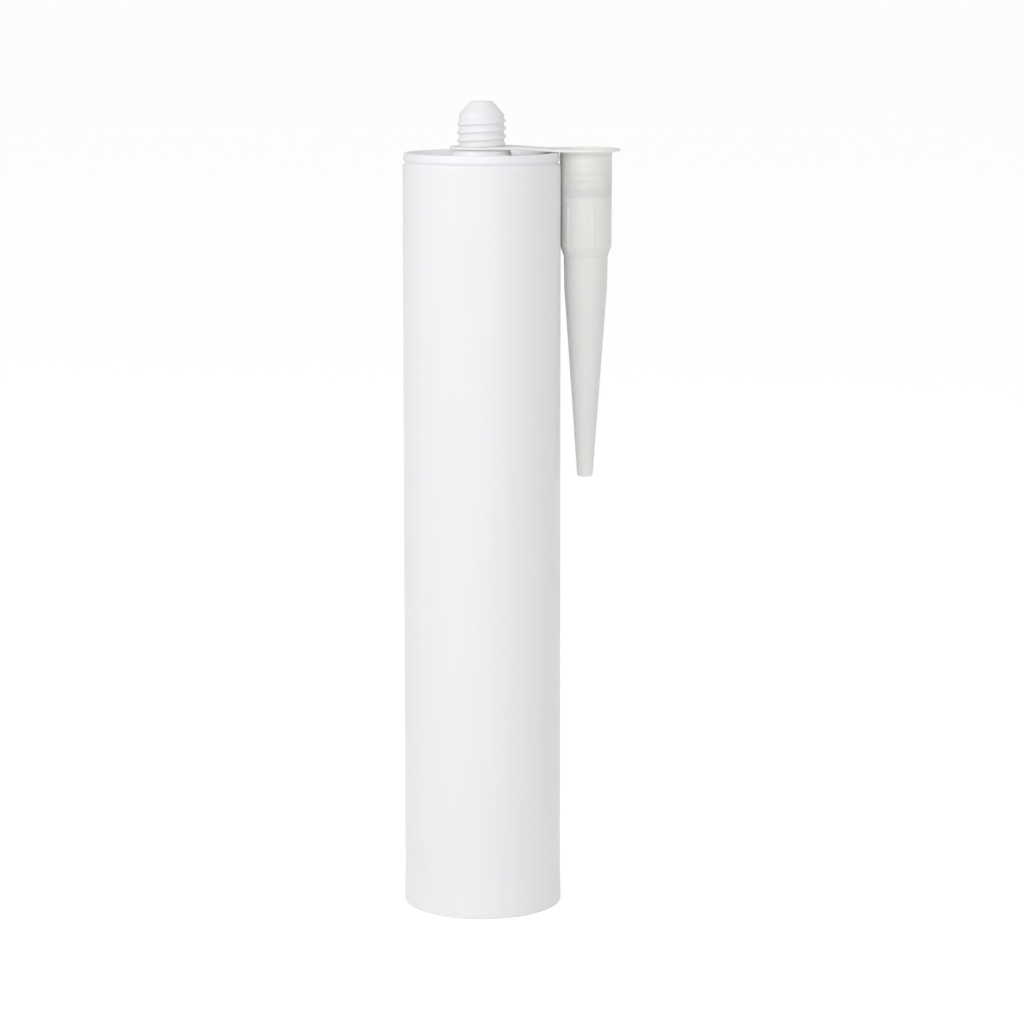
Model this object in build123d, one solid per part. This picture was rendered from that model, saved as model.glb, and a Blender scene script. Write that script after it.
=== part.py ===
from build123d import *

import math
import os

# Sealant cartridge: a moulded tube with a closed threaded neck, a plunger that
# closes its open rear end, the paste between them, and a nozzle that hangs by a
# ring from the foot of the neck until it is torn off and screwed on.
#
# Frame: the origin is the centre of the rear opening, on the plane that the tube
# stands on.  +Z runs up the tube to the neck, and +X points to the hanging nozzle.
# All sizes are in millimetres.

# ---- Driving dimensions ----
# Tube
TUBE_HEIGHT = 239.4          # standing plane to the top of the head's rim
TUBE_REAR_R = 24.92          # outside, at the rear, before the flare
TUBE_HEAD_R = 24.58          # outside, at the head: the difference is moulding draft
BORE_R = 23.3
FLARE_R = 25.12              # outside of the flared rear end
FLARE_FLAT = 2.5             # height of the flare's straight part
FLARE_HEIGHT = 9.0           # height at which the flare has died away
MOUTH_R = 23.6               # wider bore that lets the plunger in
MOUTH_DEPTH = 8.0
MOUTH_TAPER = 1.5
REAR_ROUND = 0.35

# Head, with heights counted from the top of the rim
RIM_TOP_R = 24.0
RIM_WIDE_R = 24.5
RIM_WIDE_Z = -2.2
GROOVE_R = 23.65             # root of the V groove under the rim
GROOVE_Z = -3.1
TUBE_EDGE_Z = -3.9           # top edge of the tube's plain outside
RIM_INNER_R = 22.3
RIM_FOOT_R = 21.9
RECESS_Z = -1.5              # floor of the recess inside the rim
HEAD_INSIDE_Z = -4.2         # flat inside face of the head

# Neck, with heights counted from the top of the rim
COLLAR_R = 8.9
COLLAR_FOOT_R = 9.6
COLLAR_Z = 0.95
NECK_R = 7.0
NECK_CONE_Z = 11.7
TIP_R = 3.4
TIP_Z = 15.8
NECK_BORE_R = 5.4
NECK_BORE_CONE_Z = 11.4
TIP_BORE_R = 2.1
TIP_BORE_Z = 14.6

# Thread of the neck and of the nozzle's socket: right-hand, one start
PITCH = 2.5
NECK_CREST_R = 7.65
NECK_CREST_TOP = 10.0        # height of the crest on the +X side, top turn
NECK_THREAD_TURNS = 3.6
NECK_THREAD_LOW = 2.05       # the thread fades out between these two heights
NECK_THREAD_HIGH = 10.6
RIDGE_BASE = 1.5
RIDGE_CREST = 0.5
RIDGE_ROOTING = 0.25         # how far a ridge is sunk into its wall

# Plunger
PLUNGER_REAR_Z = 16.0
PLUNGER_HEIGHT = 18.0
LIP_R = 23.25                # a running fit in the bore
LIP_HEIGHT = 1.6
SKIRT_R = 22.7
SKIRT_INNER_R = 21.3
DISC_THICKNESS = 2.2
HUB_R = 6.0
HUB_INNER_R = 4.6
RIB_COUNT = 8
RIB_THICKNESS = 1.1
RIB_HEIGHT = 4.0

# Paste
PASTE_GAP = 0.05             # left free all round, so that no walls cut each other

# Nozzle, with heights counted from the top of the rim
NOZZLE_X = 32.9
RING_BORE_R = 7.2
RING_R = 9.9
RING_Z = 1.05
PLATE_THICKNESS = 0.85
PLATE_ROUND = 0.2
FLANGE_R = 10.7
FLANGE_Z = 0.2
SLOPE_START_X = 10.5
SLOPE_END_X = 22.0
WAIST_ARC_R = 48.0           # radius of the plate's hollowed sides
SOCKET_R = 8.15
SOCKET_LOW_R = 8.0
SOCKET_LOW_Z = -29.4
LIP_FILLET = 0.7
SHOULDER_R = 6.9
SHOULDER_Z = -32.6
SPOUT_TOP_R = 6.72
SPOUT_TOP_Z = -42.5
SPOUT_TIP_R = 2.45
SPOUT_TIP_Z = -102.4
SPOUT_TIP_ROUND = 0.7
SOCKET_BORE_R = 7.7
SOCKET_BORE_Z = -14.0
SOCKET_CREST_R = 7.2
SOCKET_THREAD_LOW = -13.0
SOCKET_THREAD_HIGH = -0.6
SEAT_R = 7.1
SEAT_LOW_R = 7.0
SPOUT_WALL = 1.0
OUTLET_R = 1.5
GRIP_RIB_COUNT = 6
GRIP_RIB_FIRST = -84.0       # degrees round the nozzle from +X
GRIP_RIB_R = 0.6
GRIP_RIB_PROUD = 0.25
GRIP_RIB_TOP = -16.3
GRIP_RIB_LOW = -31.8

# ---- Derived heights ----
HEAD_INSIDE = TUBE_HEIGHT + HEAD_INSIDE_Z
PLUNGER_FRONT_Z = PLUNGER_REAR_Z + PLUNGER_HEIGHT


def section(corners):
    """Closed outline from (radius, height, rounding) corners, as a face in the XZ plane."""
    outline = make_face(Polyline([(r, z) for r, z, _ in corners], close=True)).face()
    for r, z, rounding in corners:
        if rounding > 0:
            corner = outline.vertices().sort_by_distance((r, z, 0))[0]
            outline = outline.fillet_2d(rounding, [corner])
    return Plane.XZ * outline


def turned(corners):
    """Solid of revolution about Z."""
    return revolve(section(corners), Axis.Z)


def ridge(root_r, crest_r, turns, low_z, start_angle):
    """Trapezium thread ridge that starts at start_angle degrees and height low_z.

    It stands outwards where the crest is the larger radius, and inwards where it is
    the smaller.
    """
    outward = math.copysign(1.0, crest_r - root_r)
    path = Helix(pitch=PITCH, height=turns * PITCH, radius=root_r)
    depth = abs(crest_r - root_r)
    trapezium = make_face(
        Polyline(
            [
                (-outward * RIDGE_ROOTING, -RIDGE_BASE / 2),
                (0, -RIDGE_BASE / 2),
                (outward * depth, -RIDGE_CREST / 2),
                (outward * depth, RIDGE_CREST / 2),
                (0, RIDGE_BASE / 2),
                (-outward * RIDGE_ROOTING, RIDGE_BASE / 2),
            ],
            close=True,
        )
    )
    profile = Plane(origin=path @ 0, x_dir=(1, 0, 0), z_dir=path % 0) * trapezium
    swept = sweep(profile, path=path, is_frenet=True)
    return Pos(0, 0, low_z) * Rot(0, 0, start_angle) * swept


def make_cartridge():
    """Tube, head and closed neck in one piece."""
    top = TUBE_HEIGHT
    shell = turned(
        [
            (MOUTH_R, 0, REAR_ROUND),
            (FLARE_R, 0, REAR_ROUND),
            (FLARE_R, FLARE_FLAT, 0),
            (TUBE_REAR_R, FLARE_HEIGHT, 0),
            (TUBE_HEAD_R, top + TUBE_EDGE_Z, 0.3),
            (GROOVE_R, top + GROOVE_Z, 0.15),
            (RIM_WIDE_R, top + RIM_WIDE_Z, 0.4),
            (RIM_TOP_R, top, 0.35),
            (RIM_INNER_R, top, 0.35),
            (RIM_FOOT_R, top + RECESS_Z, 0.4),
            (COLLAR_FOOT_R, top + RECESS_Z, 0.8),
            (COLLAR_R, top + COLLAR_Z, 0.25),
            (NECK_R, top + COLLAR_Z, 0.3),
            (NECK_R, top + NECK_CONE_Z, 0.6),
            (TIP_R, top + TIP_Z, 0.5),
            (0, top + TIP_Z, 0),
            (0, top + TIP_BORE_Z, 0),
            (TIP_BORE_R, top + TIP_BORE_Z, 0.4),
            (NECK_BORE_R, top + NECK_BORE_CONE_Z, 0.5),
            (NECK_BORE_R, HEAD_INSIDE, 0.5),
            (BORE_R, HEAD_INSIDE, 0.6),
            (BORE_R, MOUTH_DEPTH + MOUTH_TAPER, 0),
            (MOUTH_R, MOUTH_DEPTH, 0),
        ]
    )
    turns = NECK_THREAD_TURNS
    low = top + NECK_CREST_TOP - turns * PITCH
    start_angle = -360.0 * turns
    thread = ridge(NECK_R, NECK_CREST_R, turns, low, start_angle)
    fade = NECK_CREST_R - NECK_R
    bottom, high = top + NECK_THREAD_LOW, top + NECK_THREAD_HIGH
    envelope = turned(
        [
            (0, bottom, 0),
            (NECK_R, bottom, 0),
            (NECK_CREST_R, bottom + fade, 0),
            (NECK_CREST_R, high - 2 * fade, 0),
            (NECK_R, high, 0),
            (0, high, 0),
        ]
    )
    return shell + (thread & envelope)


def make_piston():
    """Cup-shaped plunger: flat front disc, skirt with two lips, ribbed hub behind."""
    rear, front = PLUNGER_REAR_Z, PLUNGER_FRONT_Z
    disc_back = front - DISC_THICKNESS
    cup = turned(
        [
            (SKIRT_INNER_R, rear, 0.3),
            (LIP_R - 0.6, rear, 0),
            (LIP_R, rear + 0.6, 0),
            (LIP_R, rear + 0.6 + LIP_HEIGHT, 0),
            (SKIRT_R, rear + 1.2 + LIP_HEIGHT, 0.3),
            (SKIRT_R, front - 1.2 - LIP_HEIGHT, 0.3),
            (LIP_R, front - 0.6 - LIP_HEIGHT, 0),
            (LIP_R, front - 0.6, 0),
            (LIP_R - 0.6, front, 0),
            (0, front, 0),
            (0, disc_back, 0),
            (SKIRT_INNER_R - 0.4, disc_back, 0.8),
        ]
    )
    hub = turned(
        [
            (HUB_INNER_R, disc_back - RIB_HEIGHT, 0),
            (HUB_R, disc_back - RIB_HEIGHT, 0),
            (HUB_R, disc_back + 0.5, 0),
            (HUB_INNER_R, disc_back + 0.5, 0),
        ]
    )
    rib_length = SKIRT_INNER_R + 0.5 - (HUB_INNER_R + HUB_R) / 2
    rib_centre = (HUB_INNER_R + HUB_R) / 2 + rib_length / 2
    rib = Pos(rib_centre, 0, disc_back - RIB_HEIGHT / 2 + 0.25) * Box(
        rib_length, RIB_THICKNESS, RIB_HEIGHT + 0.5
    )
    piston = cup + hub
    for index in range(RIB_COUNT):
        piston += Rot(0, 0, index * 360 / RIB_COUNT) * rib
    return piston


def make_sealant():
    """Paste that fills the tube from the plunger to the head, and the neck."""
    top = TUBE_HEIGHT
    column_r = NECK_BORE_R - PASTE_GAP
    return turned(
        [
            (0, PLUNGER_FRONT_Z, 0),
            (BORE_R - PASTE_GAP, PLUNGER_FRONT_Z, 0),
            (BORE_R - PASTE_GAP, HEAD_INSIDE - PASTE_GAP, 0.7),
            (column_r, HEAD_INSIDE - PASTE_GAP, 0),
            (column_r, top + NECK_BORE_CONE_Z - PASTE_GAP, 0.5),
            (TIP_BORE_R - PASTE_GAP, top + TIP_BORE_Z - 2 * PASTE_GAP, 0.4),
            (0, top + TIP_BORE_Z - 2 * PASTE_GAP, 0),
        ]
    )


def plate_plan():
    """Ring and flange circles joined by a web whose sides are tangent arcs."""
    from_ring = WAIST_ARC_R + RING_R
    from_flange = WAIST_ARC_R + FLANGE_R
    arc_x = (NOZZLE_X**2 + from_ring**2 - from_flange**2) / (2 * NOZZLE_X)
    arc_y = math.sqrt(from_ring**2 - arc_x**2)
    ring_touch = (arc_x * RING_R / from_ring, arc_y * RING_R / from_ring)
    flange_touch = (
        NOZZLE_X + (arc_x - NOZZLE_X) * FLANGE_R / from_flange,
        arc_y * FLANGE_R / from_flange,
    )
    waist = (arc_x, arc_y - WAIST_ARC_R)
    near = [(x, -y) for x, y in (ring_touch, waist, flange_touch)]
    web = make_face(
        [
            ThreePointArc(ring_touch, waist, flange_touch),
            Line(flange_touch, near[2]),
            ThreePointArc(near[2], near[1], near[0]),
            Line(near[0], ring_touch),
        ]
    )
    return Circle(RING_R) + Pos(NOZZLE_X, 0) * Circle(FLANGE_R) + web


def rim_edges(plate):
    """Edges round the plate's outline, above and below: all but those that cross the strap."""
    return [edge for edge in plate.edges() if not crosses_strap(edge) and not stands_up(edge)]


def crosses_strap(edge):
    """True for a straight edge across the strap, where its slope starts or ends."""
    return edge.geom_type == GeomType.LINE and abs((edge % 0).Y) > 0.99


def stands_up(edge):
    """True for a short upright edge in the plate's side wall."""
    return edge.geom_type == GeomType.LINE and abs((edge % 0).Z) > 0.99


def make_plate():
    """Ring, strap and flange: one thin plate that steps down over the rim."""
    left, right = -RING_R - 1, NOZZLE_X + FLANGE_R + 1
    underside = [(left, RING_Z), (SLOPE_START_X, RING_Z), (SLOPE_END_X, FLANGE_Z), (right, FLANGE_Z)]
    upper = [(x, z + PLATE_THICKNESS) for x, z in reversed(underside)]
    side = make_face(Polyline(underside + upper, close=True))
    half_depth = FLANGE_R + 1
    sheet = extrude(Plane.XZ * side, amount=half_depth, both=True)
    plan = extrude(Pos(0, 0, FLANGE_Z - 1) * plate_plan(), amount=PLATE_THICKNESS + 3)
    plate = sheet & plan
    return fillet(rim_edges(plate), PLATE_ROUND)


def socket_and_spout():
    """Outside of the socket, shoulder and spout, about the nozzle's own axis."""
    under = FLANGE_Z + PLATE_THICKNESS / 2
    outside = turned(
        [
            (0, under, 0),
            (SOCKET_R + LIP_FILLET, under, 0),
            (SOCKET_R + LIP_FILLET, FLANGE_Z, 0),
            (SOCKET_R, FLANGE_Z - LIP_FILLET, 0),
            (SOCKET_LOW_R, SOCKET_LOW_Z, 0.8),
            (SHOULDER_R, SHOULDER_Z, 0.8),
            (SPOUT_TOP_R, SPOUT_TOP_Z, 0),
            (SPOUT_TIP_R, SPOUT_TIP_Z, SPOUT_TIP_ROUND),
            (0, SPOUT_TIP_Z, 0),
        ]
    )
    rib_height = GRIP_RIB_TOP - GRIP_RIB_LOW
    rib_low_r = SOCKET_R + (SOCKET_LOW_R - SOCKET_R) * GRIP_RIB_TOP / SOCKET_LOW_Z
    rib_axis_r = rib_low_r + GRIP_RIB_PROUD - GRIP_RIB_R
    rib = Pos(rib_axis_r, 0, (GRIP_RIB_TOP + GRIP_RIB_LOW) / 2) * Cylinder(GRIP_RIB_R, rib_height)
    envelope = turned(
        [
            (0, GRIP_RIB_TOP, 0),
            (SOCKET_R, GRIP_RIB_TOP, 0),
            (SOCKET_R + GRIP_RIB_PROUD, GRIP_RIB_TOP - 0.6, 0),
            (SOCKET_LOW_R + GRIP_RIB_PROUD, SOCKET_LOW_Z, 0),
            (SHOULDER_R + GRIP_RIB_PROUD, GRIP_RIB_LOW, 0),
            (0, GRIP_RIB_LOW, 0),
        ]
    )
    for index in range(GRIP_RIB_COUNT):
        angle = GRIP_RIB_FIRST + index * 360 / GRIP_RIB_COUNT
        outside += (Rot(0, 0, angle) * rib) & envelope
    return outside


def nozzle_hollow():
    """Everything that is open inside the nozzle, about its own axis."""
    above = FLANGE_Z + PLATE_THICKNESS + 1
    mouth = FLANGE_Z + PLATE_THICKNESS
    return turned(
        [
            (0, above, 0),
            (SOCKET_BORE_R + 0.4, above, 0),
            (SOCKET_BORE_R + 0.4, mouth, 0),
            (SOCKET_BORE_R, mouth - 0.6, 0),
            (SOCKET_BORE_R, SOCKET_BORE_Z, 0.3),
            (SEAT_R, SOCKET_BORE_Z - 0.4, 0),
            (SEAT_LOW_R, SOCKET_LOW_Z + 0.3, 0),
            (SHOULDER_R - SPOUT_WALL, SHOULDER_Z + 0.3, 0.5),
            (SPOUT_TOP_R - SPOUT_WALL, SPOUT_TOP_Z, 0),
            (OUTLET_R, SPOUT_TIP_Z, 0),
            (OUTLET_R, SPOUT_TIP_Z - 1, 0),
            (0, SPOUT_TIP_Z - 1, 0),
        ]
    )


def make_nozzle():
    """Ring, strap, flange, threaded socket and spout in one piece."""
    body = socket_and_spout()
    turns = (SOCKET_THREAD_HIGH - SOCKET_THREAD_LOW - RIDGE_BASE) / PITCH
    low = SOCKET_THREAD_LOW + RIDGE_BASE / 2
    thread = ridge(SOCKET_BORE_R, SOCKET_CREST_R, turns, low, 0)
    at_axis = Pos(NOZZLE_X, 0, 0)
    nozzle = make_plate() + at_axis * body
    nozzle -= at_axis * nozzle_hollow()
    nozzle += at_axis * thread
    nozzle -= Pos(0, 0, RING_Z + PLATE_THICKNESS / 2) * Cylinder(RING_BORE_R, PLATE_THICKNESS + 2)
    return Pos(0, 0, TUBE_HEIGHT) * nozzle


PARTS = {
    "cartridge": make_cartridge,
    "piston": make_piston,
    "sealant": make_sealant,
    "nozzle": make_nozzle,
}

os.makedirs("parts", exist_ok=True)
for name, maker in PARTS.items():
    solids = maker().solids()
    shape = solids[0] if len(solids) == 1 else Compound(solids)
    export_step(shape, f"parts/{name}.step")
    size = shape.bounding_box().size
    print(f"{name}: {len(solids)} solid, {shape.volume / 1000:.2f} cm3, "
          f"{size.X:.2f} x {size.Y:.2f} x {size.Z:.2f} mm, valid {shape.is_valid}")
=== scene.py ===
import logging
import math
from dataclasses import dataclass, field
from enum import Enum

import bmesh
import bpy
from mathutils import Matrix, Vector


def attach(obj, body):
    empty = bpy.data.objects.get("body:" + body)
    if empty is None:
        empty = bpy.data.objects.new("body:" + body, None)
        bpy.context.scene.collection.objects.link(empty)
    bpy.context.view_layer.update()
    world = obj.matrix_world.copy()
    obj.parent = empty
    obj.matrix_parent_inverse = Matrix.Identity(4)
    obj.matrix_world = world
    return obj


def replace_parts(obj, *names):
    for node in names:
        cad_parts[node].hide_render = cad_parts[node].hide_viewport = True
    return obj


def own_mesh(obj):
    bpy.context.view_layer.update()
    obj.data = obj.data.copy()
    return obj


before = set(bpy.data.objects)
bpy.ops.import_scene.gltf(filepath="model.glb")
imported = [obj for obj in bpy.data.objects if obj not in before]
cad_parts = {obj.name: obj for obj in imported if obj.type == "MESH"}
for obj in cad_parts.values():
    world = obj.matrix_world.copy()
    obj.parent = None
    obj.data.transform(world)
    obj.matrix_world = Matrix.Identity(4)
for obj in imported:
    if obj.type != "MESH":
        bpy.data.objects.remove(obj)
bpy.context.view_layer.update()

# Sealant cartridge: a moulded tube with a closed threaded neck, a plunger in its
# open rear end, the paste between them, and a nozzle that hangs by a ring from the
# foot of the neck.  Sizes are in millimetres and turn to metres as meshes are made.

MM = 0.001
AXIS_TOLERANCE = 1e-6        # a radius below this is a pole
RADIUS_TOLERANCE = 1e-4      # two radii closer than this are one wall
WALL_TOLERANCE = 0.02        # how near a point must be to a wall for a thread to move it
SHARP_BEND = 32.0            # degrees between faces, past which an edge is a sharp one
WHITE = (1.0, 1.0, 1.0, 1.0)
LOG = logging.getLogger("cartridge")

Corner = tuple[float, float, float]
Point = tuple[float, float]


class Body(Enum):
    """Bodies of the frame that a piece can ride on."""

    TUBE = "tube"
    PLUNGER = "plunger"
    NOZZLE = "nozzle"


class Slot(Enum):
    """Material slots of the part's record."""

    CARTRIDGE = "cartridge_white"
    PISTON = "piston_natural"
    PASTE = "paste"
    NOZZLE = "nozzle_natural"


# ---------------------------------------------------------------- colours and nodes


def linear(hex_colour: str) -> tuple[float, float, float, float]:
    """Turn an sRGB hex colour to linear RGBA.

    Args:
        hex_colour: six hex digits, such as "f4f5f6".

    Returns:
        The colour as linear red, green, blue and alpha 1.
    """
    channels = [int(hex_colour[i : i + 2], 16) / 255 for i in (0, 2, 4)]
    red, green, blue = [c / 12.92 if c <= 0.04045 else ((c + 0.055) / 1.055) ** 2.4 for c in channels]
    return red, green, blue, 1.0


def add_node(tree: bpy.types.NodeTree, kind: str, links: dict | None = None, **settings) -> bpy.types.Node:
    """Add one node with its settings, its input values and its incoming links.

    Args:
        tree: the node tree that gets the node.
        kind: the node's type identifier.
        links: input name or index, to a value or to the output socket that feeds it.
        **settings: properties of the node itself.

    Returns:
        The new node.
    """
    node = tree.nodes.new(kind)
    for name, value in settings.items():
        setattr(node, name, value)
    for key, value in (links or {}).items():
        if isinstance(value, bpy.types.NodeSocket):
            tree.links.new(value, node.inputs[key])
        else:
            node.inputs[key].default_value = value
    return node


def empty_material(name: str) -> bpy.types.Material:
    """Make a node material with an empty tree."""
    material = bpy.data.materials.new(name)
    material.use_nodes = True
    material.node_tree.nodes.clear()
    return material


@dataclass(frozen=True)
class MouldedPolyethylene:
    """Injection-moulded polyethylene: soft gloss, faint flow marks, light that sinks in a little.

    The flow marks are stretched along the tube, because the melt ran that way, and the
    fine grain is what the polished but not mirror-smooth mould leaves.
    """

    name: str
    light: str
    shade: str
    roughness: float
    roughness_spread: float
    ior: float
    subsurface: float
    scatter_mm: float
    flow_across_mm: float
    flow_along_mm: float
    grain_mm: float
    grain_strength: float
    sink_mm: float
    wave_strength: float = 0.10
    wave_mm: float = 0.05
    grain_deep_mm: float = 0.02
    scatter_tint: tuple[float, float, float] = (1.0, 0.95, 0.88)

    def material(self) -> bpy.types.Material:
        """Build the finish.

        Returns:
            The material, which reads Object coordinates only.
        """
        material = empty_material(self.name)
        tree = material.node_tree
        place = add_node(tree, "ShaderNodeTexCoord").outputs["Object"]
        across, along = 1 / (self.flow_across_mm * MM), 1 / (self.flow_along_mm * MM)
        stretched = add_node(tree, "ShaderNodeMapping", {"Vector": place, "Scale": (across, across, along)})
        flow = add_node(
            tree,
            "ShaderNodeTexNoise",
            {"Vector": stretched.outputs["Vector"], "Scale": 1.0, "Detail": 3.0, "Roughness": 0.55},
        )
        clouds = add_node(
            tree,
            "ShaderNodeTexNoise",
            {"Vector": place, "Scale": 1 / (self.sink_mm * MM), "Detail": 2.0},
        )
        grain = add_node(
            tree,
            "ShaderNodeTexNoise",
            {"Vector": place, "Scale": 1 / (self.grain_mm * MM), "Detail": 4.0, "Roughness": 0.6},
        )
        colour = add_node(
            tree,
            "ShaderNodeMix",
            {0: flow.outputs["Fac"], 6: linear(self.light), 7: linear(self.shade)},
            data_type="RGBA",
        )
        gloss = add_node(
            tree,
            "ShaderNodeMapRange",
            {
                "Value": clouds.outputs["Fac"],
                "From Min": 0.3,
                "From Max": 0.7,
                "To Min": self.roughness - self.roughness_spread,
                "To Max": self.roughness + self.roughness_spread,
            },
        )
        waves = add_node(
            tree,
            "ShaderNodeBump",
            {
                "Height": flow.outputs["Fac"],
                "Strength": self.wave_strength,
                "Distance": self.wave_mm * MM,
            },
        )
        bump = add_node(
            tree,
            "ShaderNodeBump",
            {
                "Height": grain.outputs["Fac"],
                "Strength": self.grain_strength,
                "Distance": self.grain_deep_mm * MM,
                "Normal": waves.outputs["Normal"],
            },
        )
        shader = add_node(
            tree,
            "ShaderNodeBsdfPrincipled",
            {
                "Base Color": colour.outputs[2],
                "Roughness": gloss.outputs["Result"],
                "IOR": self.ior,
                "Subsurface Weight": self.subsurface,
                "Subsurface Radius": self.scatter_tint,
                "Subsurface Scale": self.scatter_mm * MM,
                "Normal": bump.outputs["Normal"],
            },
        )
        add_node(tree, "ShaderNodeOutputMaterial", {"Surface": shader.outputs["BSDF"]})
        return material


@dataclass(frozen=True)
class WetPaste:
    """Acrylic sealant: dense white paste, wet, with the dimples of trapped air."""

    name: str
    light: str
    shade: str
    roughness: float
    lump_mm: float
    lump_strength: float = 0.4
    lump_deep_mm: float = 0.3
    ior: float = 1.46

    def material(self) -> bpy.types.Material:
        """Build the finish.

        Returns:
            The material, which reads Object coordinates only.
        """
        material = empty_material(self.name)
        tree = material.node_tree
        place = add_node(tree, "ShaderNodeTexCoord").outputs["Object"]
        lumps = add_node(
            tree,
            "ShaderNodeTexNoise",
            {"Vector": place, "Scale": 1 / (self.lump_mm * MM), "Detail": 4.0},
        )
        colour = add_node(
            tree,
            "ShaderNodeMix",
            {0: lumps.outputs["Fac"], 6: linear(self.light), 7: linear(self.shade)},
            data_type="RGBA",
        )
        bump = add_node(
            tree,
            "ShaderNodeBump",
            {
                "Height": lumps.outputs["Fac"],
                "Strength": self.lump_strength,
                "Distance": self.lump_deep_mm * MM,
            },
        )
        shader = add_node(
            tree,
            "ShaderNodeBsdfPrincipled",
            {
                "Base Color": colour.outputs[2],
                "Roughness": self.roughness,
                "IOR": self.ior,
                "Normal": bump.outputs["Normal"],
            },
        )
        add_node(tree, "ShaderNodeOutputMaterial", {"Surface": shader.outputs["BSDF"]})
        return material


# High-density polyethylene, moulded and coloured white: cool white with a soft sheen.
CARTRIDGE_WHITE = MouldedPolyethylene(
    name="white_hdpe_moulded",
    light="f4f5f7",
    shade="f0f1f3",
    roughness=0.36,
    roughness_spread=0.04,
    ior=1.54,
    subsurface=0.12,
    scatter_mm=1.2,
    flow_across_mm=4.0,
    flow_along_mm=60.0,
    grain_mm=0.5,
    grain_strength=0.10,
    sink_mm=18.0,
)

# Low-density polyethylene with no pigment: warmer, milky, light passes through its thin walls.
NOZZLE_NATURAL = MouldedPolyethylene(
    name="natural_ldpe_moulded",
    light="f9f7f3",
    shade="f3f1ec",
    roughness=0.40,
    roughness_spread=0.05,
    ior=1.51,
    subsurface=0.55,
    scatter_mm=2.5,
    flow_across_mm=2.5,
    flow_along_mm=30.0,
    grain_mm=0.4,
    grain_strength=0.14,
    sink_mm=7.0,
)

# Polyethylene of the plunger: a little duller and yellower than the nozzle.
PISTON_NATURAL = MouldedPolyethylene(
    name="natural_pe_plunger",
    light="efede4",
    shade="e9e6da",
    roughness=0.46,
    roughness_spread=0.05,
    ior=1.51,
    subsurface=0.35,
    scatter_mm=1.8,
    flow_across_mm=5.0,
    flow_along_mm=20.0,
    grain_mm=0.5,
    grain_strength=0.16,
    sink_mm=9.0,
)

# Sealant paste: bright white, wet.
SEALANT_PASTE = WetPaste(
    name="wet_sealant_paste",
    light="f5f4f0",
    shade="ebe9e3",
    roughness=0.22,
    lump_mm=3.0,
)


# ---------------------------------------------------------------- turned meshes


def rounded(corners: list[Corner], arc_step: float = 15.0) -> list[Point]:
    """Replace each corner that has a rounding by the points of its arc.

    Args:
        corners: closed outline of (radius, height, rounding), in millimetres.
        arc_step: largest angle between arc points, in degrees.

    Returns:
        The outline's (radius, height) points in order.
    """
    outline: list[Point] = []
    count = len(corners)
    for index, (radius, height, rounding) in enumerate(corners):
        here = Vector((radius, height))
        if rounding <= 0:
            outline.append((radius, height))
            continue
        before = Vector(corners[index - 1][:2]) - here
        after = Vector(corners[(index + 1) % count][:2]) - here
        before.normalize()
        after.normalize()
        opening = before.angle(after)
        reach = rounding / math.tan(opening / 2)
        centre = here + (before + after).normalized() * (rounding / math.sin(opening / 2))
        start, end = here + before * reach - centre, here + after * reach - centre
        turn = math.atan2(start.x * end.y - start.y * end.x, start.dot(end))
        steps = max(2, math.ceil(abs(math.degrees(turn)) / arc_step))
        first = math.atan2(start.y, start.x)
        for step in range(steps + 1):
            angle = first + turn * step / steps
            outline.append((centre.x + rounding * math.cos(angle), centre.y + rounding * math.sin(angle)))
    return outline


def with_rows(outline: list[Point], low: float, high: float, radius: float, step: float) -> list[Point]:
    """Add closely spaced points on the upright run that a thread stands on.

    Args:
        outline: closed outline of (radius, height) points.
        low: lower end of the threaded length.
        high: upper end of the threaded length.
        radius: radius of the wall that the thread stands on.
        step: spacing of the added points.

    Returns:
        The outline with the added points.
    """
    result: list[Point] = []
    count = len(outline)
    for index, (r, z) in enumerate(outline):
        result.append((r, z))
        next_r, next_z = outline[(index + 1) % count]
        if max(abs(r - radius), abs(next_r - radius)) > RADIUS_TOLERANCE:
            continue
        start, end = max(low, min(z, next_z)), min(high, max(z, next_z))
        if end - start < step:
            continue
        rows = math.ceil((end - start) / step)
        heights = [start + (end - start) * row / rows for row in range(rows + 1)]
        heights = [h for h in heights if abs(h - z) > step / 4 and abs(h - next_z) > step / 4]
        result += [(radius, h) for h in (heights if next_z > z else reversed(heights))]
    return result


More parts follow.
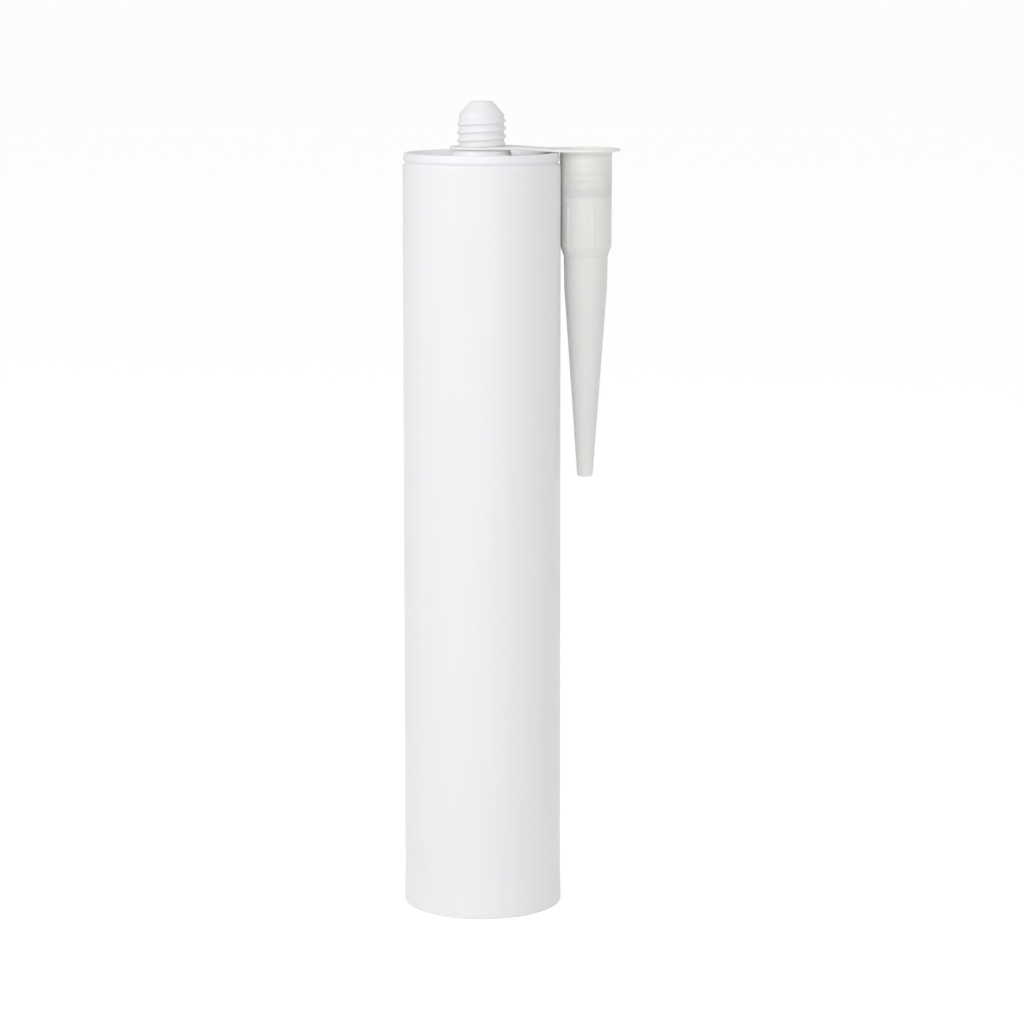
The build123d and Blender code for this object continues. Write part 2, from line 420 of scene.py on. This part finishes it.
def turned_mesh(name: str, outline: list[Point], segments: int, axis_x: float = 0.0) -> bpy.types.Mesh:
    """Turn a closed outline round an upright axis.

    Points on the axis become single poles, and ring edges at a sharp bend of the
    outline are marked sharp.

    Args:
        name: name of the mesh.
        outline: (radius, height) points in millimetres.
        segments: number of steps round the axis.
        axis_x: place of the axis along X, in millimetres.

    Returns:
        A closed mesh with its faces outward, in metres.
    """
    shape = bmesh.new()
    rings: list[list[bmesh.types.BMVert]] = []
    for radius, height in outline:
        if radius < AXIS_TOLERANCE:
            rings.append([shape.verts.new((axis_x * MM, 0, height * MM))])
            continue
        ring = []
        for segment in range(segments):
            angle = math.tau * segment / segments
            x, y = axis_x + radius * math.cos(angle), radius * math.sin(angle)
            ring.append(shape.verts.new((x * MM, y * MM, height * MM)))
        rings.append(ring)
    for index, ring in enumerate(rings):
        following = rings[(index + 1) % len(rings)]
        if len(ring) == 1 and len(following) == 1:
            continue
        for segment in range(segments):
            after = (segment + 1) % segments
            if len(ring) == 1:
                shape.faces.new((ring[0], following[after], following[segment]))
            elif len(following) == 1:
                shape.faces.new((ring[segment], ring[after], following[0]))
            else:
                shape.faces.new((ring[segment], ring[after], following[after], following[segment]))
    bmesh.ops.recalc_face_normals(shape, faces=shape.faces)
    for edge in shape.edges:
        edge.smooth = edge.calc_face_angle(0.0) < math.radians(SHARP_BEND)
    mesh = bpy.data.meshes.new(name)
    shape.to_mesh(mesh)
    shape.free()
    return mesh


# ---------------------------------------------------------------- the screw thread


@dataclass(frozen=True)
class Thread:
    """A right-hand trapezium thread that a ridge tree raises on a turned wall."""

    pitch: float
    root_radius: float
    ridge_height: float
    base: float
    crest: float
    low: float
    high: float
    fade: float
    crest_height: float

    def sizes(self) -> dict[str, float]:
        """Name the tree's inputs and the thread's sizes for them, in millimetres."""
        return {
            "Pitch": self.pitch,
            "Root Radius": self.root_radius,
            "Ridge Height": self.ridge_height,
            "Base": self.base,
            "Crest": self.crest,
            "Low": self.low,
            "High": self.high,
            "Fade": self.fade,
            "Crest Z": self.crest_height,
        }

    def tree(self) -> bpy.types.NodeTree:
        """Build the Geometry Nodes tree that raises the ridge by a rule of angle and height.

        Returns:
            The tree, with named inputs for the sizes in metres and for the finish.
        """
        tree = bpy.data.node_groups.new("helical_ridge", "GeometryNodeTree")
        face = tree.interface
        face.new_socket("Geometry", in_out="INPUT", socket_type="NodeSocketGeometry")
        for name in self.sizes():
            face.new_socket(name, in_out="INPUT", socket_type="NodeSocketFloat")
        face.new_socket("Finish", in_out="INPUT", socket_type="NodeSocketMaterial")
        face.new_socket("Geometry", in_out="OUTPUT", socket_type="NodeSocketGeometry")
        given = add_node(tree, "NodeGroupInput").outputs
        spot = add_node(tree, "GeometryNodeInputPosition").outputs[0]
        split = add_node(tree, "ShaderNodeSeparateXYZ", {0: spot}).outputs

        def calc(
            operation: str,
            first: float | bpy.types.NodeSocket,
            second: float | bpy.types.NodeSocket = 0.0,
            third: float | bpy.types.NodeSocket = 0.0,
        ) -> bpy.types.NodeSocket:
            """Add one arithmetic step on values or sockets, and give its result."""
            values = {0: first, 1: second, 2: third}
            return add_node(tree, "ShaderNodeMath", values, operation=operation).outputs[0]

        angle = calc("ARCTAN2", split["Y"], split["X"])
        climb = calc("MULTIPLY", calc("DIVIDE", angle, math.tau), given["Pitch"])
        lead = calc("SUBTRACT", calc("SUBTRACT", split["Z"], given["Crest Z"]), climb)
        half = calc("MULTIPLY", given["Pitch"], 0.5)
        low_wrap = calc("MULTIPLY", half, -1.0)
        away = calc("ABSOLUTE", calc("WRAP", lead, half, low_wrap))
        flank = calc("SUBTRACT", given["Base"], given["Crest"])
        rise = calc("DIVIDE", calc("SUBTRACT", given["Base"], calc("MULTIPLY", away, 2.0)), flank)
        profile = calc("MAXIMUM", calc("MINIMUM", rise, 1.0), 0.0)
        from_low = calc("DIVIDE", calc("SUBTRACT", split["Z"], given["Low"]), given["Fade"])
        from_high = calc("DIVIDE", calc("SUBTRACT", given["High"], split["Z"]), given["Fade"])
        ends = calc("MAXIMUM", calc("MINIMUM", calc("MINIMUM", from_low, from_high), 1.0), 0.0)
        flat = add_node(tree, "ShaderNodeCombineXYZ", {"X": split["X"], "Y": split["Y"]}).outputs[0]
        reach = add_node(tree, "ShaderNodeVectorMath", {0: flat}, operation="LENGTH").outputs["Value"]
        on_wall = calc("COMPARE", reach, given["Root Radius"], WALL_TOLERANCE * MM)
        full = calc("MULTIPLY", on_wall, given["Ridge Height"])
        height = calc("MULTIPLY", calc("MULTIPLY", profile, ends), full)
        outward = add_node(tree, "ShaderNodeVectorMath", {0: flat}, operation="NORMALIZE").outputs[0]
        push = {0: outward, "Scale": height}
        shift = add_node(tree, "ShaderNodeVectorMath", push, operation="SCALE").outputs[0]
        moved = add_node(tree, "GeometryNodeSetPosition", {"Geometry": given["Geometry"], "Offset": shift})
        real = add_node(tree, "GeometryNodeRealizeInstances", {"Geometry": moved.outputs[0]})
        dressed = add_node(
            tree, "GeometryNodeSetMaterial", {"Geometry": real.outputs[0], "Material": given["Finish"]}
        )
        add_node(tree, "NodeGroupOutput", {0: dressed.outputs[0]})
        return tree

    def cut(self, mesh: bpy.types.Mesh, finish: bpy.types.Material) -> bpy.types.Mesh:
        """Raise the thread on a mesh.

        Args:
            mesh: turned mesh with closely spaced rows on the threaded wall.
            finish: material of the whole mesh.

        Returns:
            A plain mesh with the thread, named as the given one was.
        """
        name = mesh.name
        carrier = bpy.data.objects.new("thread_carrier", mesh)
        bpy.context.scene.collection.objects.link(carrier)
        tree = self.tree()
        modifier = carrier.modifiers.new("Thread", "NODES")
        modifier.node_group = tree
        sizes = self.sizes()
        for item in tree.interface.items_tree:
            if item.in_out == "INPUT" and item.name in sizes:
                modifier[item.identifier] = sizes[item.name] * MM
            elif item.in_out == "INPUT" and item.name == "Finish":
                modifier[item.identifier] = finish
        graph = bpy.context.evaluated_depsgraph_get()
        threaded = bpy.data.meshes.new_from_object(carrier.evaluated_get(graph))
        carrier.modifiers.remove(modifier)
        bpy.data.objects.remove(carrier)
        bpy.data.meshes.remove(mesh)
        threaded.name = name
        return threaded


# ---------------------------------------------------------------- pieces


def place(
    name: str,
    mesh: bpy.types.Mesh,
    finish: bpy.types.Material,
    body: Body,
    slot: Slot,
) -> bpy.types.Object:
    """Make a shown piece of a finished mesh.

    Args:
        name: name of the piece.
        mesh: finished mesh, with its place in its vertices.
        finish: material of the piece.
        body: body that the piece rides on.
        slot: not used.

    Returns:
        The new object, smooth shaded.
    """
    mesh.materials.clear()
    mesh.materials.append(finish)
    mesh.polygons.foreach_set("use_smooth", [True] * len(mesh.polygons))
    piece = bpy.data.objects.new(name, mesh)
    bpy.context.scene.collection.objects.link(piece)
    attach(piece, body.value)
    LOG.info("%s: %d faces, rides on %s", name, len(mesh.polygons), body.value)
    return piece


def dress(node: str, finish: bpy.types.Material) -> bpy.types.Object:
    """Give a node of the frame its finish.

    Args:
        node: name of the node, whose shape stays as it is.
        finish: its material.

    Returns:
        The node's object.
    """
    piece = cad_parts[node]
    for material_slot in piece.material_slots:
        material_slot.material = finish
    LOG.info("%s: %d faces, kept from the frame", node, len(piece.data.polygons))
    return piece


@dataclass
class Tube:
    """Tube, head and closed neck: one moulding, open at the rear."""

    height: float = 239.4
    rear_radius: float = 24.92
    head_radius: float = 24.58
    bore_radius: float = 23.3
    flare_radius: float = 25.12
    flare_flat: float = 2.5
    flare_height: float = 9.0
    mouth_radius: float = 23.6
    mouth_depth: float = 8.0
    mouth_taper: float = 1.5
    rear_round: float = 0.35
    rim_radius: float = 24.0
    rim_wide_radius: float = 24.5
    rim_wide_below: float = 2.2
    rim_inner_radius: float = 22.3
    rim_foot_radius: float = 21.9
    rim_round: float = 0.35
    groove_radius: float = 23.65
    groove_below: float = 3.1
    groove_round: float = 0.15
    edge_below: float = 3.9
    edge_round: float = 0.3
    rim_side_round: float = 0.4
    recess_depth: float = 1.5
    recess_round: float = 0.4
    head_thickness: float = 4.2
    head_round: float = 0.6
    collar_radius: float = 8.9
    collar_foot_radius: float = 9.6
    collar_foot_round: float = 0.8
    collar_height: float = 0.95
    collar_round: float = 0.25
    neck_radius: float = 7.0
    neck_foot_round: float = 0.3
    cone_height: float = 11.7
    cone_round: float = 0.6
    tip_radius: float = 3.4
    tip_height: float = 15.8
    tip_round: float = 0.5
    neck_bore_radius: float = 5.4
    neck_bore_height: float = 11.4
    neck_bore_round: float = 0.5
    tip_bore_radius: float = 2.1
    tip_bore_height: float = 14.6
    tip_bore_round: float = 0.4
    pitch: float = 2.5
    ridge_base: float = 1.5
    ridge_crest: float = 0.5
    ridge_fade: float = 0.9
    crest_height: float = 10.0
    crest_radius: float = 7.65
    row_margin: float = 0.2
    thread_low: float = 2.05
    thread_high: float = 10.6
    row_spacing: float = 0.11
    segments: int = 288

    def outline(self) -> list[Point]:
        """Work out the moulding's half section, from the mouth round the outside and back through the bore.

        Returns:
            Closed outline of (radius, height) points.
        """
        top = self.height
        corners = [
            (self.mouth_radius, 0, self.rear_round),
            (self.flare_radius, 0, self.rear_round),
            (self.flare_radius, self.flare_flat, 0),
            (self.rear_radius, self.flare_height, 0),
            (self.head_radius, top - self.edge_below, self.edge_round),
            (self.groove_radius, top - self.groove_below, self.groove_round),
            (self.rim_wide_radius, top - self.rim_wide_below, self.rim_side_round),
            (self.rim_radius, top, self.rim_round),
            (self.rim_inner_radius, top, self.rim_round),
            (self.rim_foot_radius, top - self.recess_depth, self.recess_round),
            (self.collar_foot_radius, top - self.recess_depth, self.collar_foot_round),
            (self.collar_radius, top + self.collar_height, self.collar_round),
            (self.neck_radius, top + self.collar_height, self.neck_foot_round),
            (self.neck_radius, top + self.cone_height, self.cone_round),
            (self.tip_radius, top + self.tip_height, self.tip_round),
            (0, top + self.tip_height, 0),
            (0, top + self.tip_bore_height, 0),
            (self.tip_bore_radius, top + self.tip_bore_height, self.tip_bore_round),
            (self.neck_bore_radius, top + self.neck_bore_height, self.neck_bore_round),
            (self.neck_bore_radius, top - self.head_thickness, self.neck_bore_round),
            (self.bore_radius, top - self.head_thickness, self.head_round),
            (self.bore_radius, self.mouth_depth + self.mouth_taper, 0),
            (self.mouth_radius, self.mouth_depth, 0),
        ]
        low, high = top + self.thread_low - self.row_margin, top + self.thread_high + self.row_margin
        return with_rows(rounded(corners), low, high, self.neck_radius, self.row_spacing)

    def thread(self) -> Thread:
        """The neck's thread."""
        return Thread(
            pitch=self.pitch,
            root_radius=self.neck_radius,
            ridge_height=self.crest_radius - self.neck_radius,
            base=self.ridge_base,
            crest=self.ridge_crest,
            low=self.height + self.thread_low,
            high=self.height + self.thread_high,
            fade=self.ridge_fade,
            crest_height=self.height + self.crest_height,
        )

    def build(self) -> bpy.types.Object:
        """Build and place the moulding.

        Returns:
            The piece that stands for the frame's cartridge.
        """
        finish = CARTRIDGE_WHITE.material()
        mesh = turned_mesh("tube_moulding", self.outline(), self.segments)
        mesh = self.thread().cut(mesh, finish)
        piece = place("tube_moulding", mesh, finish, Body.TUBE, Slot.CARTRIDGE)
        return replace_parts(piece, "cartridge")


@dataclass
class Paste:
    """The sealant: a column in the tube that the plunger presses, and a plug in the neck."""

    radius: float = 23.25
    rear_z: float = 34.0
    head_inside: float = 235.15
    neck_radius: float = 5.35
    neck_top: float = 250.7
    tip_radius: float = 2.05
    tip_z: float = 253.9
    edge_round: float = 0.3
    head_round: float = 0.7
    neck_round: float = 0.5
    tip_round: float = 0.4
    pressed_length: float = 0.3
    segments: int = 128

    def build(self) -> list[bpy.types.Object]:
        """Build and place both pieces.

        Returns:
            The column and the neck's plug.
        """
        finish = SEALANT_PASTE.material()
        column = [
            (0, self.rear_z, 0),
            (self.radius, self.rear_z, self.edge_round),
            (self.radius, self.head_inside, self.head_round),
            (0, self.head_inside, 0),
        ]
        plug = [
            (0, self.head_inside, 0),
            (self.neck_radius, self.head_inside, 0),
            (self.neck_radius, self.neck_top, self.neck_round),
            (self.tip_radius, self.tip_z, self.tip_round),
            (0, self.tip_z, 0),
        ]
        pieces = []
        for name, corners in (("paste_column", column), ("paste_in_neck", plug)):
            mesh = turned_mesh(name, rounded(corners), self.segments)
            piece = place(name, mesh, finish, Body.TUBE, Slot.PASTE)
            pieces.append(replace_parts(piece, "sealant"))
        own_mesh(pieces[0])
        return pieces


@dataclass
class Plunger:
    """The cup that closes the rear of the tube and presses the paste."""

    node: str = "piston"

    def build(self) -> bpy.types.Object:
        """Dress the plunger, whose shape comes from the frame."""
        return dress(self.node, PISTON_NATURAL.material())


@dataclass
class Nozzle:
    """Ring, strap, flange, threaded socket and spout: one moulding that hangs from the neck."""

    node: str = "nozzle"

    def build(self) -> bpy.types.Object:
        """Dress the nozzle, whose shape comes from the frame."""
        return dress(self.node, NOZZLE_NATURAL.material())


# ---------------------------------------------------------------- floor, light and camera


def rays_seen(tree: bpy.types.NodeTree, kinds: tuple[str, ...]) -> bpy.types.NodeSocket:
    """Tell the rays that should meet plain white from those that light the tube.

    Args:
        tree: the node tree that gets the nodes.
        kinds: names of the ray kinds that should meet white.

    Returns:
        A socket that is 1 for those rays and 0 for the others.
    """
    path = add_node(tree, "ShaderNodeLightPath").outputs
    seen = path[kinds[0]]
    for kind in kinds[1:]:
        seen = add_node(tree, "ShaderNodeMath", {0: seen, 1: path[kind]}, operation="MAXIMUM").outputs[0]
    return seen


@dataclass
class SoftBox:
    """A rectangular lamp that faces the tube."""

    name: str
    azimuth: float
    elevation: float
    distance: float
    width: float
    height: float
    watts: float


@dataclass
class Studio:
    """Pale floor, white surroundings, soft lamps and the camera."""

    camera_place: tuple[float, float, float] = (-0.12575, -0.96257, 0.2870)
    camera_aim: tuple[float, float, float] = (0.1373, 0.9769, -0.1635)
    lens: float = 109.23
    sensor: float = 36.0
    near_clip: float = 0.01
    far_clip: float = 100.0
    floor_half: float = 6.0
    floor_colour: str = "f3f3f3"
    floor_shadow: float = 0.50
    floor_glow: float = 0.68
    backdrop: float = 0.98
    ambient: float = 0.60
    lamp_target: float = 0.13
    boxes: list[SoftBox] = field(
        default_factory=lambda: [
            SoftBox("key_box", -48.0, 35.0, 1.5, 1.0, 0.9, 5.4),
            SoftBox("front_box", 4.0, 25.0, 1.7, 0.7, 0.9, 5.4),
        ]
    )

    def floor(self) -> bpy.types.Object:
        """Make the floor, which shows white to the camera but keeps the tube's shadow."""
        material = empty_material("studio_floor")
        tree = material.node_tree
        matt = add_node(tree, "ShaderNodeBsdfDiffuse", {"Color": linear(self.floor_colour)})
        faint = add_node(tree, "ShaderNodeBsdfDiffuse", {"Color": (*[self.floor_shadow] * 3, 1.0)})
        glow = {"Color": WHITE, "Strength": self.floor_glow}
        white = add_node(tree, "ShaderNodeEmission", glow)
        pale = add_node(tree, "ShaderNodeAddShader", {0: faint.outputs[0], 1: white.outputs[0]})
        seen = rays_seen(tree, ("Is Camera Ray", "Is Glossy Ray", "Is Transmission Ray"))
        mixed = add_node(tree, "ShaderNodeMixShader", {0: seen, 1: matt.outputs[0], 2: pale.outputs[0]})
        add_node(tree, "ShaderNodeOutputMaterial", {"Surface": mixed.outputs[0]})
        half = self.floor_half
        mesh = bpy.data.meshes.new("floor")
        corners = [(-half, -half, 0), (half, -half, 0), (half, half, 0), (-half, half, 0)]
        mesh.from_pydata(corners, [], [(0, 1, 2, 3)])
        mesh.materials.append(material)
        floor = bpy.data.objects.new("floor", mesh)
        bpy.context.scene.collection.objects.link(floor)
        return floor

    def surroundings(self) -> None:
        """Light evenly from all round, and show plain white to the camera and to reflections."""
        world = bpy.data.worlds.new("studio_world")
        world.use_nodes = True
        tree = world.node_tree
        tree.nodes.clear()
        seen = rays_seen(tree, ("Is Camera Ray", "Is Transmission Ray"))
        even = add_node(tree, "ShaderNodeBackground", {"Color": WHITE, "Strength": self.ambient})
        shown = {"Color": WHITE, "Strength": self.backdrop}
        white = add_node(tree, "ShaderNodeBackground", shown)
        mixed = add_node(tree, "ShaderNodeMixShader", {0: seen, 1: even.outputs[0], 2: white.outputs[0]})
        add_node(tree, "ShaderNodeOutputWorld", {"Surface": mixed.outputs[0]})
        bpy.context.scene.world = world

    def lamps(self) -> None:
        """Hang the soft boxes, each at its angle from the camera's direction."""
        target = Vector((0.0, 0.0, self.lamp_target))
        facing = math.atan2(-self.camera_aim[1], -self.camera_aim[0])
        for box in self.boxes:
            turn, rise = facing + math.radians(box.azimuth), math.radians(box.elevation)
            way = Vector((math.cos(turn) * math.cos(rise), math.sin(turn) * math.cos(rise), math.sin(rise)))
            lamp = bpy.data.lights.new(box.name, "AREA")
            lamp.shape = "RECTANGLE"
            lamp.size, lamp.size_y = box.width, box.height
            lamp.energy = box.watts
            holder = bpy.data.objects.new(box.name, lamp)
            holder.location = target + way * box.distance
            holder.rotation_euler = (-way).to_track_quat("-Z", "Y").to_euler()
            bpy.context.scene.collection.objects.link(holder)

    def camera(self) -> None:
        """Set up the camera."""
        lens = bpy.data.cameras.new("camera")
        lens.lens = self.lens
        lens.sensor_width = self.sensor
        lens.clip_start = self.near_clip
        lens.clip_end = self.far_clip
        holder = bpy.data.objects.new("camera", lens)
        holder.location = self.camera_place
        holder.rotation_euler = Vector(self.camera_aim).to_track_quat("-Z", "Y").to_euler()
        bpy.context.scene.collection.objects.link(holder)
        bpy.context.scene.camera = holder

    def build(self) -> None:
        """Set up the whole studio."""
        self.floor()
        self.surroundings()
        self.lamps()
        self.camera()
        bpy.context.scene.view_settings.view_transform = "Standard"


def main() -> None:
    """Build every piece and the studio."""
    logging.basicConfig(level=logging.INFO, format="%(name)s: %(message)s")
    for part in (Tube(), Paste(), Plunger(), Nozzle()):
        part.build()
    Studio().build()


if __name__ == "__main__":
    main()
